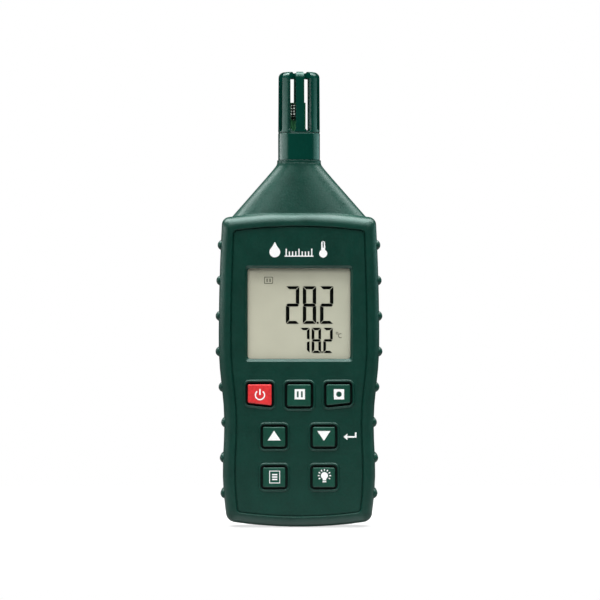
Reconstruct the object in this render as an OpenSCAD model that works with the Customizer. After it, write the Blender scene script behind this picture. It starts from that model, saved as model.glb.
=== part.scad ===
// A handheld digital hygro-thermometer: a two-part moulded case with a tapered neck and a slotted sensor cap,
// a display, seven keys, and a block battery behind a door. Millimetres, +Z up, the front faces -Y.
// The origin is on the foot, under the middle of the case. The case halves part at y = 0.

/* [Case] */
// Height of the case at the middle of its top edge
case_h = 138.2; // [132:0.1:150]
// Greatest width of the case, beside the display
hip_w = 70.6; // [70:0.1:80]
// Width of the case at its top edge
shoulder_w = 67.2; // [66:0.1:76]
// Width of the waist, beside the keys
waist_w = 65.6; // [64:0.1:74]
// Greatest width of the foot
foot_w = 67; // [65:0.1:76]
// Width of the case at its bottom edge
base_w = 62.2; // [60:0.1:72]
// Height of the widest place of the foot
foot_z = 25; // [20:0.5:30]
// Height of the waist
waist_z = 45; // [40:0.5:55]
// Height of the widest place of the case
hip_z = 80; // [72:0.5:90]
// Depth of the front half, from the parting plane to the rim
front_d = 16; // [15.5:0.1:18]
// Wall thickness of the case
wall = 2.2; // [1.8:0.1:2.6]
// Radius of the arched top edge
top_arc_r = 221; // [150:1:400]
// Radius of the arched foot
foot_arc_r = 200; // [150:1:400]
// Radius of the top corners
top_corner_r = 3.5; // [3:0.1:8]
// Radius of the bottom corners
foot_corner_r = 4.4; // [3:0.1:8]
// Width of the rounded front edge, seen from the front
front_edge_w = 4.6; // [3:0.1:5]
// Depth of the rounded front edge
front_edge_d = 6; // [3:0.1:8]
// Width of the rounded rear edge
rear_edge_w = 5.5; // [3:0.1:7]
// Depth of the rounded rear edge
rear_edge_d = 7; // [3:0.1:9]

/* [Grip ribs] */
// Number of grip ribs on each side
rib_count = 8; // [4:1:9]
// Height of the lowest rib
first_rib_z = 14.7; // [12:0.1:20]
// Distance from rib to rib
rib_pitch = 15.57; // [12:0.01:16]
// Height of one rib where it leaves the side
rib_h = 4.3; // [3:0.1:6]
// How far a rib stands out of the side
rib_proud = 1.4; // [0.6:0.1:2]

/* [Neck] */
// Height of the tapered neck above the case
neck_h = 21.6; // [18:0.1:28]
// How far the neck's top stands out from the collar
neck_proud = 0.5; // [0.2:0.05:1]
// Growth of the half-width for each millimetre down the neck
neck_flare = 0.88; // [0.6:0.01:0.95]
// Growth of the half-depth for each millimetre down the neck
neck_depth_flare = 0.148; // [0.05:0.001:0.2]
// Height of the plain ring on top of the neck
ring_h = 1.3; // [1:0.1:3]

/* [Sensor cap] */
// Height of the plain collar of the cap
collar_h = 11.65; // [8:0.05:16]
// How far the collar stands out from the cage
collar_proud = 0.15; // [0.1:0.05:0.6]
// Height of the slotted cage above the collar
cage_h = 27.1; // [20:0.1:36]
// Radius of the cage at its top
cage_top_r = 9.05; // [8.6:0.05:9.8]
// Radius of the shoulder of the cage
shoulder_r = 2.6; // [1:0.1:3]
// Depth of the dish in the crown of the cap
crown_dish = 0.6; // [0.2:0.1:1]
// Thickness of the cap's roof under the dish
roof_t = 2.3; // [1.2:0.1:3]
// Wall thickness of the cap
cap_wall = 1.7; // [1.2:0.1:2]
// Number of slots round the cage
slot_count = 8; // [6:1:10]
// Share of the cage's turn that a slot takes
slot_share = 0.47; // [0.3:0.01:0.6]
// Radius of the slots' lower corners
slot_corner_r = 0.9; // [0.4:0.1:1]
// Turn of the cage about its axis, in degrees
cage_turn = 3; // [0:1:22]

/* [Front panel] */
// Depth of the recessed panel below the rim
panel_depth = 0.6; // [0.3:0.1:1]
// Thickness of the front face under the panel
face_t = 2; // [1.8:0.1:2.4]
// Distance from the case's side to the panel
panel_side = 5.4; // [5.2:0.1:8]
// Distance from the case's top to the panel
panel_top = 6.3; // [5.6:0.1:9]
// Distance from the case's foot to the panel
panel_foot = 4.8; // [4.6:0.1:8]
// Width of the bevel about the panel
panel_bevel = 0.4; // [0.2:0.1:0.8]
// Width of the groove about the panel
groove_w = 0.4; // [0.3:0.05:0.6]
// Depth of the groove about the panel
groove_d = 0.4; // [0.2:0.05:0.6]
// Radius of the panel's corners
panel_corner_r = 2; // [1:0.1:4]

/* [Display] */
// Height of the middle of the display
display_z = 93.6; // [90:0.1:100]
// Width of the visible display
view_w = 45; // [40:0.1:46]
// Height of the visible display
view_h = 39.6; // [34:0.1:40]
// Bevel of the opening at its sides
bevel_side = 1.2; // [0.3:0.1:1.6]
// Bevel of the opening at its top and bottom
bevel_end = 1.3; // [0.5:0.1:2]
// Depth of the window below the panel
window_sink = 1.2; // [0.8:0.1:1.4]
// Thickness of the window
window_t = 1; // [0.8:0.1:1.2]
// Thickness of the display glass
glass_t = 2; // [1.6:0.1:2.2]
// Thickness of the backlight panel
backlight_t = 2.4; // [1.6:0.1:2.4]

/* [Keys] */
// Width of a key of the top row
top_key_w = 10.4; // [9:0.1:11]
// Height of a key of the top row, at the middle of the case
top_key_h = 9.7; // [8:0.1:10]
// Distance between the keys of the top row
top_key_pitch = 17.2; // [16:0.1:18]
// Height of the upper edge of the top row
top_row_z = 62.6; // [60:0.1:64]
// Radius of the arc along the lower edge of the top row
row_arc_r = 150; // [100:1:400]
// Width of a key of the lower rows
low_key_w = 9.8; // [9:0.1:11]
// Height of a key of the lower rows
low_key_h = 8.6; // [8:0.1:10]
// Distance between the keys of the lower rows
low_key_pitch = 21.8; // [18:0.1:24]
// Height of the middle of the second row
second_row_z = 39.65; // [37:0.1:42]
// Height of the middle of the third row
third_row_z = 21.9; // [20:0.1:24]
// Radius of the keys' corners
key_corner_r = 0.7; // [0.6:0.1:2]
// How far a key stands out of the panel
key_proud = 1.1; // [0.8:0.1:1.4]
// Travel of a key
key_travel = 0.8; // [0.5:0.1:1]
// Gap between a key and its opening
key_gap = 1; // [0.6:0.1:1.2]
// Radius of the round bead about each key
bead_r = 0.55; // [0.3:0.05:0.7]

/* [Battery] */
// Width of the battery
battery_w = 26.5; // [24:0.1:27]
// Thickness of the battery
battery_t = 17.5; // [15:0.1:17.6]
// Height of the battery's can
battery_h = 46.4; // [40:0.1:48]
// Height of the battery's terminals
terminal_h = 2.1; // [1.5:0.1:3]
// Clearance round the battery in its bay
battery_clear = 0.45; // [0.3:0.05:0.8]
// Room for the foam pad between the battery and its door
pad_room = 2; // [1:0.1:4]
// Height of the lower edge of the battery door
door_z = 10.5; // [9:0.1:14]
// Thickness of the battery door
door_t = 1.6; // [1.4:0.1:1.8]
// Width of the ledge that the door lies on
ledge_w = 3.6; // [2.5:0.1:4]

/* [Fasteners and fits] */
// Radius of the tripod thread
tripod_r = 3.175; // [3.175, 4.7625]
// Depth of the tripod thread
tripod_depth = 7.5; // [6:0.1:8]
// Height of the tripod thread above the foot
tripod_z = 103; // [96:0.5:115]
// Radius of the case screws
case_screw_r = 1.25; // [1:0.05:1.5]
// Radius of the board screws
board_screw_r = 0.95; // [0.8:0.05:1.2]
// Gap between pieces that are assembled side by side
fit_gap = 0.15; // [0.1:0.05:0.25]
// Gap round the battery door
door_gap = 0.25; // [0.2:0.05:0.4]

/* [Hidden] */
$fn = 48;
eps = 0.01;

// Colours
case_green = [0.13, 0.26, 0.22];
cap_green = [0.02, 0.22, 0.18];
key_green = [0.10, 0.32, 0.25];
key_red = [0.92, 0.22, 0.26];
board_green = [0.05, 0.35, 0.15];

// Planes of the front stack, from the rim inwards
panel_y = -front_d + panel_depth;
face_inner_y = panel_y + face_t;
window_y = panel_y + window_sink;
glass_y = window_y + window_t + 0.2;
backlight_y = glass_y + glass_t + 0.1;
board_t = 1.6;
board_y = backlight_y + backlight_t + 0.1;
board_back_y = board_y + board_t;

// Radii of the collar and the neck
collar_r = cage_top_r + collar_proud;
neck_r = collar_r + neck_proud;

// Heights up the neck and the cap
ring_z = case_h + neck_h;
cap_z = ring_z + ring_h + fit_gap;
cage_z = cap_z + collar_h;
cap_top_z = cage_z + cage_h;
cap_bore_r = cage_top_r - cap_wall + 0.1;

// The bay behind the door
bay_wall = 1;
bay_half_w = battery_w / 2 + battery_clear;
bay_y = board_back_y + 1.9;
battery_y = bay_y + 0.3;
rear_d = battery_y + battery_t + pad_room + door_t;
battery_z = door_z + 3;
snap_h = 4.6;
bay_top_z = battery_z + battery_h + terminal_h + snap_h + 6.9;
door_top_z = bay_top_z + 5;
door_half_w = bay_half_w + ledge_w - door_gap;
door_y = rear_d - door_t;
hinge_y = rear_d - door_t / 2;
hinge_z = door_z + door_t / 2;
ledge_t = 1.5;
ledge_y = door_y - 0.2;

// Places of the screws
case_screw_x = shoulder_w / 2 - wall - 3.9;
case_screw_top_z = case_h - 11.7;
case_screw_foot_z = 11.5;
case_boss_r = 3.2;
screw_well_r = 3.1;
board_screw_x = 18;
board_screw_top_z = case_h - 13.2;
board_screw_foot_z = 9.8;
board_boss_r = 2.4;

// A cosine step from 0 to 1
function ease(t) = (1 - cos(180 * t)) / 2;

// Half-width of the case at height z
function case_half_w(z) =
    z < foot_z ? (foot_w - (foot_w - base_w) * pow((foot_z - z) / foot_z, 2)) / 2
    : z < waist_z ? (foot_w + (waist_w - foot_w) * ease((z - foot_z) / (waist_z - foot_z))) / 2
    : z < hip_z ? (waist_w + (hip_w - waist_w) * ease((z - waist_z) / (hip_z - waist_z))) / 2
    : (hip_w - (hip_w - shoulder_w) * pow((z - hip_z) / (case_h - hip_z), 2)) / 2;

// Points of an arc without its first one
function arc_after(cx, cz, r, a0, a1, n) =
    [for (i = [1 : n]) let (a = a0 + (a1 - a0) * i / n) [cx + r * cos(a), cz + r * sin(a)]];

// Height of the centre of a corner circle whose middle is x from the case's middle
function foot_corner_z(x, arc, r) = foot_arc_r - sqrt(pow(arc - r, 2) - x * x);
function top_corner_z(x, arc, r) = case_h - top_arc_r + sqrt(pow(arc - r, 2) - x * x);

// Right half of the case's outline, moved inwards by the three insets, from the foot to the top
corner_steps = 6;
side_steps = 16;
arc_steps = 4;
function right_outline(side, top, foot, r_top, r_foot) =
    let (
        foot_arc = foot_arc_r - foot,
        top_arc = top_arc_r - top,
        fx = case_half_w(foot + r_foot + 2) - side - r_foot,
        tx = case_half_w(case_h - top - r_top - 2) - side - r_top,
        fz = foot_corner_z(fx, foot_arc, r_foot),
        tz = top_corner_z(tx, top_arc, r_top),
        foot_lean = asin(fx / (foot_arc - r_foot)),
        top_lean = asin(tx / (top_arc - r_top)),
        middle = 1 / (2 * arc_steps + 1)
    )
    concat(
        arc_after(0, foot_arc_r, foot_arc, -90 - foot_lean * middle, -90 + foot_lean * (1 - 2 * middle),
                  arc_steps),
        [for (a = [-90 + foot_lean]) [fx + r_foot * cos(a), fz + r_foot * sin(a)]],
        arc_after(fx, fz, r_foot, -90 + foot_lean, 0, corner_steps),
        [for (i = [1 : side_steps - 1])
            let (z = fz + (tz - fz) * i / side_steps) [case_half_w(z) - side, z]],
        [[tx + r_top, tz]],
        arc_after(tx, tz, r_top, 0, 90 - top_lean, corner_steps),
        arc_after(0, case_h - top_arc_r, top_arc, 90 - top_lean, 90 - top_lean * middle, arc_steps)
    );

// Closed outline of the case, counter-clockwise as seen from the front
function case_outline(side, top, foot, r_top, r_foot) =
    let (half = right_outline(side, top, foot, r_top, r_foot), n = len(half))
    concat(half, [for (i = [n - 1 : -1 : 0]) [-half[i][0], half[i][1]]]);

function inset_outline(d) =
    case_outline(d, d, d, top_corner_r * (1 - 0.06 * d), foot_corner_r * (1 - 0.06 * d));

// A closed solid through rings of points. Each ring runs clockwise as seen from where the stack ends.
module skin(rings) {
    n = len(rings[0]);
    last = len(rings) - 1;
    sides = [
        for (i = [0 : last - 1], j = [0 : n - 1])
            let (k = (j + 1) % n, a = i * n + j, b = i * n + k, c = a + n, d = b + n)
            each [[a, b, d], [a, d, c]]
    ];
    polyhedron(
        points = [for (ring = rings) each ring],
        faces = concat([[for (j = [n - 1 : -1 : 0]) j]], sides, [[for (j = [0 : n - 1]) last * n + j]])
    );
}

// Extrudes a front-view shape from y0 to y1
module along_y(y0, y1) {
    translate([0, y1, 0]) rotate([90, 0, 0]) linear_extrude(y1 - y0) children();
}

// A cylinder along Y
module rod_y(x, z, r, y0, y1) {
    translate([x, y1, z]) rotate([90, 0, 0]) cylinder(r = r, h = y1 - y0);
}

// A box given by its lowest and highest corners
module span(low, high) {
    translate(low) cube(high - low);
}

module rounded_rect(w, h, r) {
    square([w - 2 * r, h], center = true);
    square([w, h - 2 * r], center = true);
    for (x = [-1, 1], y = [-1, 1]) translate([x * (w / 2 - r), y * (h / 2 - r)]) circle(r);
}

// The outer form of a case half, as rings of the outline with a round edge and a bevel at the parting plane
edge_steps = 7;
seam_w = 0.25;
seam_d = 0.35;

function edge_ring(inset, y) = [for (p = inset_outline(inset)) [p[0], y, p[1]]];

module front_form() {
    skin(concat(
        [for (i = [0 : edge_steps]) let (a = 90 * i / edge_steps)
            edge_ring(front_edge_w * (1 - sin(a)), -front_d + front_edge_d * (1 - cos(a)))],
        [edge_ring(0, -seam_d), edge_ring(seam_w, 0)]
    ));
}

module rear_form() {
    skin(concat(
        [edge_ring(seam_w, 0), edge_ring(0, seam_d)],
        [for (i = [edge_steps : -1 : 0]) let (a = 90 * i / edge_steps)
            edge_ring(rear_edge_w * (1 - sin(a)), rear_d - rear_edge_d * (1 - cos(a)))]
    ));
}

// One half of the neck, as rings that grow from a half circle to a half ellipse
neck_steps = 24;
function flare(drop, rate) = neck_r + rate * (sqrt(drop * drop + 1) - 1);

function neck_ring(drop, inset) =
    let (
        hw = flare(drop, neck_flare) - inset,
        hd = flare(drop, neck_depth_flare) - inset,
        z = ring_z - drop
    )
    [for (i = [0 : neck_steps]) let (a = -180 * i / neck_steps) [hw * cos(a), hd * sin(a), z]];

module neck_form(inset, drops) {
    skin([for (drop = drops) neck_ring(drop, inset)]);
}

neck_root = neck_h + 2.8;
neck_drops = [neck_root, 18, 13, 9, 6, 4, 2.6, 1.5, 0.7, 0];
bore_drop = 7;

// The grip ribs of one half, from the parting plane towards the front or the back
module grip_ribs(depth) {
    r = (rib_h * rib_h / 4 + rib_proud * rib_proud) / (2 * rib_proud);
    for (i = [0 : rib_count - 1], side = [-1, 1]) {
        z = first_rib_z + i * rib_pitch;
        translate([side * (case_half_w(z) + rib_proud - r), 0, z]) {
            rotate([depth > 0 ? -90 : 90, 0, 0]) cylinder(r = r, h = abs(depth));
            translate([0, depth, 0]) sphere(r);
        }
    }
}

// Corners of a key's face, counter-clockwise, with the top row's lower edge on its arc
function row_arc_z(x) = top_row_z - top_key_h + x * x / (2 * row_arc_r);
function top_key(x) =
    let (a = x - top_key_w / 2, b = x + top_key_w / 2)
    [[a, row_arc_z(a)], [b, row_arc_z(b)], [b, top_row_z], [a, top_row_z]];
function low_key(x, z) =
    let (w = low_key_w / 2, h = low_key_h / 2)
    [[x - w, z - h], [x + w, z - h], [x + w, z + h], [x - w, z + h]];

power_shape = top_key(-top_key_pitch);
hold_shape = top_key(0);
record_shape = top_key(top_key_pitch);
up_shape = low_key(-low_key_pitch / 2, second_row_z);
down_shape = low_key(low_key_pitch / 2, second_row_z);
memory_shape = low_key(-low_key_pitch / 2, third_row_z);
light_shape = low_key(low_key_pitch / 2, third_row_z);
key_shapes = [power_shape, hold_shape, record_shape, up_shape, down_shape, memory_shape, light_shape];

// Outward normal of the edge from p to q
function edge_normal(p, q) = let (d = q - p) [d[1], -d[0]] / norm(d);

// Corners moved inwards by r along both edges
function inner_corners(pts, r) =
    let (n = len(pts))
    [for (i = [0 : n - 1])
        let (a = edge_normal(pts[(i + n - 1) % n], pts[i]), b = edge_normal(pts[i], pts[(i + 1) % n]))
        pts[i] - (a + b) * r / (1 + a * b)];

// The rounded outline of a key, grown by d, counter-clockwise as seen from the front
key_corner_steps = 6;
function key_outline(shape, d) =
    let (pts = inner_corners(shape, key_corner_r), n = len(pts))
    [for (i = [0 : n - 1], s = [0 : key_corner_steps])
        let (
            before = edge_normal(pts[(i + n - 1) % n], pts[i]),
            after = edge_normal(pts[i], pts[(i + 1) % n]),
            a = atan2(before[1], before[0]) + acos(before * after) * s / key_corner_steps
        )
        pts[i] + (key_corner_r + d) * [cos(a), sin(a)]];

// A solid through the key's outline at each of a list of [growth, y] levels, from the front inwards
module key_loft(shape, levels) {
    skin([for (level = levels) [for (p = key_outline(shape, level[0])) [p[0], level[1], p[1]]]]);
}

function middle(shape) = (shape[0] + shape[1] + shape[2] + shape[3]) / 4;

// A plate in the panel whose rim is a round bead about the key
module key_bead(shape) {
    steps = 6;
    sunk = 0.1;
    crest = key_gap + 0.9 * bead_r;
    key_loft(shape, concat(
        [[key_gap - 0.4, panel_y + sunk]],
        [for (i = [0 : steps]) let (a = 180 * i / steps)
            [crest - bead_r * cos(a), panel_y + sunk - bead_r * sin(a)]],
        [[crest + bead_r, panel_y + 0.6]]
    ));
}

flange_t = 0.9;
flange_grow = key_gap + 0.8;
key_top_y = panel_y - key_proud;
key_flange_y = face_inner_y + 0.05;
key_bottom_y = key_flange_y + flange_t;

module keycap(shape, tint) {
    edge = 0.7 * key_corner_r;
    color(tint) key_loft(shape, [
        [-edge, key_top_y], [-edge / 2, key_top_y + 0.06], [-edge / 6, key_top_y + 0.2],
        [0, key_top_y + 0.45],
        [0, key_flange_y], [flange_grow, key_flange_y], [flange_grow, key_bottom_y]
    ]);
}

module power_key() { keycap(power_shape, key_red); }
module hold_key() { keycap(hold_shape, key_green); }
module record_key() { keycap(record_shape, key_green); }
module up_key() { keycap(up_shape, key_green); }
module down_key() { keycap(down_shape, key_green); }
module memory_key() { keycap(memory_shape, key_green); }
module light_key() { keycap(light_shape, key_green); }

// The edge of the recessed panel, grown by d
function panel_edge(d, y) =
    let (r = panel_corner_r + d)
    [for (p = case_outline(panel_side - d, panel_top - d, panel_foot - d, r, r)) [p[0], y, p[1]]];

// The recess of the panel, with the groove about it
module panel_recess() {
    skin([
        panel_edge(panel_bevel * (1 + 1 / panel_depth), -front_d - 1), panel_edge(0, panel_y),
        panel_edge(0, panel_y + groove_d), panel_edge(-groove_w, panel_y + groove_d),
        panel_edge(-groove_w, panel_y)
    ]);
}

// The display opening: a bevelled rectangle down to the window
module display_opening() {
    hull() {
        translate([0, 0, display_z]) {
            along_y(panel_y - 0.02, panel_y - 0.01)
                rounded_rect(view_w + 2 * bevel_side, view_h + 2 * bevel_end, 1.6, $fn = 24);
            along_y(window_y, window_y + eps) rounded_rect(view_w, view_h, 1.3, $fn = 24);
        }
    }
    translate([0, 0, display_z]) along_y(panel_y - 1, panel_y)
        rounded_rect(view_w + 2 * bevel_side, view_h + 2 * bevel_end, 1.6);
}

window_w = view_w + 3.1;
window_h = view_h + 3.1;

// The lip that keeps the two case halves in line, on the sides and the foot
lip_t = 1;
lip_h = 1.2;
lip_top_z = case_h - 16;
module lip(outer_inset, height) {
    intersection() {
        along_y(-height, eps) difference() {
            polygon(inset_outline(outer_inset));
            polygon(inset_outline(wall));
        }
        span([-hip_w, -height - 1, -1], [hip_w, 1, lip_top_z]);
    }
}

module at_case_screws() {
    for (x = [-1, 1], z = [case_screw_top_z, case_screw_foot_z])
        translate([x * (z > hip_z ? case_screw_x : case_screw_x - 1), 0, z]) children();
}

module at_board_screws() {
    for (x = [-1, 1], z = [board_screw_top_z, board_screw_foot_z])
        translate([x * board_screw_x, 0, z]) children();
}

holder_r = cap_bore_r - 0.05;
holder_flange_r = holder_r + 1.3;
holder_flange_z = ring_z - 7.2;
holder_flange_t = 2;

module neck_bore() {
    translate([0, 0, ring_z - bore_drop - 3]) cylinder(r = holder_r + fit_gap, h = bore_drop + ring_h + 4);
    translate([0, 0, holder_flange_z - fit_gap])
        cylinder(r = holder_flange_r + fit_gap, h = holder_flange_t + 2 * fit_gap);
}

module neck_collar() {
    translate([0, 0, ring_z - eps]) rotate([0, 0, 180]) rotate_extrude(angle = 180)
        square([neck_r - 0.05, ring_h + eps]);
}

module front_housing() {
    color(case_green) difference() {
        union() {
            difference() {
                union() {
                    front_form();
                    neck_form(0, neck_drops);
                    neck_collar();
                    grip_ribs(front_edge_d - front_d);
                }
                along_y(face_inner_y, 1) polygon(inset_outline(wall));
                neck_form(wall, [neck_root + 2, 18, 13, bore_drop + 2]);
                neck_bore();
                lip(wall - lip_t, lip_h + 0.1);
                panel_recess();
            }
            for (shape = key_shapes) key_bead(shape);
            at_case_screws() rod_y(0, 0, case_boss_r, face_inner_y - eps, -1);
            at_board_screws() rod_y(0, 0, board_boss_r, face_inner_y - eps, board_y);
        }
        for (shape = key_shapes) along_y(-front_d - 1, face_inner_y + 1) polygon(key_outline(shape, key_gap));
        display_opening();
        translate([0, 0, display_z]) along_y(window_y, face_inner_y + 1)
            rounded_rect(window_w + 2 * fit_gap, window_h + 2 * fit_gap, 1.2);
        at_case_screws() rod_y(0, 0, case_screw_r + 0.05, -9, 0);
        at_board_screws() rod_y(0, 0, board_screw_r + 0.05, board_y - 4.4, board_y + 1);
    }
}

module rear_housing() {
    well_y = 5;
    rear_inner_y = rear_d - wall;
    color(case_green) difference() {
        union() {
            difference() {
                union() {
                    rear_form();
                    mirror([0, 1, 0]) neck_form(0, neck_drops);
                    mirror([0, 1, 0]) neck_collar();
                    grip_ribs(rear_d - rear_edge_d);
                }
                along_y(-1, rear_inner_y) polygon(inset_outline(wall));
                mirror([0, 1, 0]) neck_form(wall, [neck_root + 2, 18, 13, bore_drop + 2]);
                neck_bore();
            }
            lip(wall - lip_t + 0.1, lip_h);
            at_case_screws() rod_y(0, 0, screw_well_r + 1.2, -0.9, rear_inner_y + eps);
            span([-bay_half_w - bay_wall, bay_y - bay_wall, door_z - 1.2],
                 [bay_half_w + bay_wall, rear_inner_y + eps, bay_top_z + bay_wall]);
            span([-door_half_w - 1.5, ledge_y - ledge_t, door_z - 1.2],
                 [door_half_w + 1.5, rear_inner_y + eps, door_top_z + 1.5]);
            rod_y(0, tripod_z, 7, rear_d - tripod_depth - 2.4, rear_inner_y + eps);
        }
        span([-bay_half_w, bay_y, door_z - door_gap], [bay_half_w, rear_d + 1, bay_top_z]);
        span([-door_half_w - door_gap, ledge_y, door_z - door_gap],
             [door_half_w + door_gap, rear_d + 1, door_top_z + door_gap]);
        for (x = [-1, 1]) hook_pocket(x * hook_x);
        span([-6, -2.5, bay_top_z - 1], [6, 6, bay_top_z + 2]);
        rod_y(0, door_top_z + 2.5, 6, rear_d - 0.8, rear_d + 1);
        rod_y(0, tripod_z, insert_r, rear_d - tripod_depth - 1, rear_d + 1);
        at_case_screws() {
            rod_y(0, 0, case_screw_r + 0.35, -2, rear_d);
            rod_y(0, 0, screw_well_r, well_y, rear_d + 1);
        }
    }
}

hook_x = 8;
hook_w = 5;
hook_t = 1.3;
hook_reach = 2;
hook_y = rear_d - wall - 0.2 - hook_t;

module hook_pocket(x) {
    span([x - hook_w / 2 - 0.3, hook_y - 1.4, door_z - hook_reach - 0.6],
         [x + hook_w / 2 + 0.3, rear_d - wall, door_z + 0.1]);
}

// The door's plate, with a round lower edge on its hinge axis
module door_plate() {
    translate([-door_half_w, 0, 0]) rotate([90, 0, 90]) linear_extrude(2 * door_half_w) {
        translate([door_y, hinge_z]) square([door_t, door_top_z - hinge_z]);
        translate([hinge_y, hinge_z]) circle(door_t / 2);
    }
}

module battery_door() {
    latch_w = 14;
    latch_h = 9;
    slit = 0.7;
    color(case_green) difference() {
        union() {
            door_plate();
            for (x = [-1, 1]) {
                span([x * hook_x - hook_w / 2, hook_y, door_z + 0.2],
                     [x * hook_x + hook_w / 2, hinge_y, door_z + 1.5]);
                span([x * hook_x - hook_w / 2, hook_y, door_z - hook_reach],
                     [x * hook_x + hook_w / 2, hook_y + hook_t, door_z + 1.5]);
            }
        }
        for (x = [-1, 1])
            span([x * latch_w / 2 - slit / 2, door_y - 1, door_top_z - latch_h],
                 [x * latch_w / 2 + slit / 2, rear_d + 1, door_top_z + 1]);
        for (i = [0 : 3])
            span([-4.5, rear_d - 0.5, door_top_z - 3 - i * 1.6],
                 [4.5, rear_d + 1, door_top_z - 2.2 - i * 1.6]);
    }
}

module door_pad() {
    color("dimgray")
        span([-9, battery_y + battery_t + 0.2, battery_z + 10], [9, door_y, battery_z + battery_h - 4]);
}

insert_r = 5;
module tripod_insert() {
    color("goldenrod") difference() {
        rod_y(0, tripod_z, insert_r - 0.02, rear_d - tripod_depth - 1, rear_d);
        rod_y(0, tripod_z, tripod_r, rear_d - tripod_depth, rear_d + 1);
    }
}

module case_screws() {
    color("silver") at_case_screws() {
        rod_y(0, 0, case_screw_r, -7, 5 + eps);
        difference() {
            rod_y(0, 0, 2.8, 5, 7);
            for (turn = [0, 90]) translate([0, 7, 0]) rotate([0, turn, 0])
                translate([-1.7, -0.9, -0.3]) cube([3.4, 2, 0.6]);
        }
    }
}

module display_window() {
    color([0.85, 0.88, 0.85, 0.35]) translate([0, 0, display_z])
        along_y(window_y, window_y + window_t) rounded_rect(window_w, window_h, 1.1);
}

glass_w = view_w + 3.8;
glass_h = view_h + 3.4;
module lcd_glass() {
    color([0.72, 0.72, 0.62]) translate([0, 0, display_z])
        along_y(glass_y, glass_y + glass_t) square([glass_w, glass_h], center = true);
}

backlight_w = view_w + 0.8;
backlight_h = view_h - 2.1;
backlight_drop = 1.1;
strip_z = display_z + glass_h / 2 - 1.5;
strip_w = view_w;
strip_t = 2;

module lcd_frame() {
    frame_wall = 1.8;
    color("white") difference() {
        translate([0, 0, display_z]) along_y(glass_y - 0.1, board_y)
            square([glass_w + 2 * frame_wall, glass_h + 2 * frame_wall], center = true);
        translate([0, 0, display_z]) along_y(glass_y - 1, glass_y + glass_t)
            square([glass_w + 2 * fit_gap, glass_h + 2 * fit_gap], center = true);
        translate([0, 0, display_z - backlight_drop]) along_y(glass_y, board_y + 1)
            square([backlight_w + 2 * fit_gap, backlight_h + 2 * fit_gap], center = true);
        translate([0, 0, strip_z]) along_y(glass_y, board_y + 1)
            square([strip_w + 2 * fit_gap, strip_t + 2 * fit_gap], center = true);
    }
}

module backlight_panel() {
    color("ivory") translate([0, 0, display_z - backlight_drop])
        along_y(backlight_y, backlight_y + backlight_t) square([backlight_w, backlight_h], center = true);
}

module lcd_connector() {
    color("lightgray") translate([0, 0, strip_z]) along_y(glass_y + glass_t, board_y)
        square([strip_w, strip_t], center = true);
}

module main_board() {
    edge_clear = 0.8;
    color(board_green) difference() {
        intersection() {
            along_y(board_y, board_back_y) polygon(inset_outline(wall + edge_clear));
            span([-hip_w, board_y - 1, 6.5], [hip_w, board_back_y + 1, case_h - 6.5]);
        }
        at_case_screws() rod_y(0, 0, case_boss_r + 0.5, board_y - 1, board_back_y + 1);
        at_board_screws() rod_y(0, 0, board_screw_r + 0.2, board_y - 1, board_back_y + 1);
    }
}

module board_screws() {
    color("silver") at_board_screws() {
        rod_y(0, 0, board_screw_r, board_y - 4, board_back_y + eps);
        rod_y(0, 0, 1.9, board_back_y, board_back_y + 1.2);
    }
}

chip_z = 101;
module microcontroller() {
    size = 12;
    pins = 11;
    pitch = 0.8;
    color([0.12, 0.12, 0.12]) {
        span([-size / 2, board_back_y + 0.1, chip_z - size / 2],
             [size / 2, board_back_y + 1.5, chip_z + size / 2]);
        for (turn = [0 : 90 : 270], i = [0 : pins - 1])
            translate([0, board_back_y, chip_z]) rotate([0, turn, 0])
                span([size / 2 - eps, 0, (i - (pins - 1) / 2) * pitch - 0.15],
                     [size / 2 + 0.9, 0.4, (i - (pins - 1) / 2) * pitch + 0.15]);
    }
}

module crystal() {
    half_l = 3.4;
    can_r = 1.6;
    color("silver") {
        for (z = [-1, 1]) rod_y(13, chip_z + z * half_l, can_r, board_back_y, board_back_y + 3.4);
        span([13 - can_r, board_back_y, chip_z - half_l], [13 + can_r, board_back_y + 3.4, chip_z + half_l]);
    }
}

module board_capacitors() {
    color("peru") for (p = [[-13, 96], [-13, 100], [-13, 104], [-8, 112], [-4, 112], [9, 112], [13, 112]])
        span([p[0] - 0.8, board_back_y, p[1] - 1.5], [p[0] + 0.8, board_back_y + 1.1, p[1] + 1.5]);
}

ribbon_w = 5;
ribbon_t = 0.4;
socket_z = board_screw_top_z + 0.5;
socket_h = 4;
ribbon_y = board_back_y + 1.1;
module sensor_socket() {
    color("ivory") difference() {
        span([-ribbon_w / 2 - 1.5, board_back_y, socket_z - socket_h],
             [ribbon_w / 2 + 1.5, board_back_y + 2.4, socket_z]);
        span([-ribbon_w / 2 - 0.15, ribbon_y - ribbon_t / 2 - 0.15, socket_z - socket_h + 1],
             [ribbon_w / 2 + 0.15, ribbon_y + ribbon_t / 2 + 0.15, socket_z + 1]);
    }
}

sensor_board_w = 6.8;
sensor_board_x = -0.5;
sensor_board_t = 1;
sensor_board_foot_z = ring_z - 14;
sensor_board_top_z = cage_z + 13.7;

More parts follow.
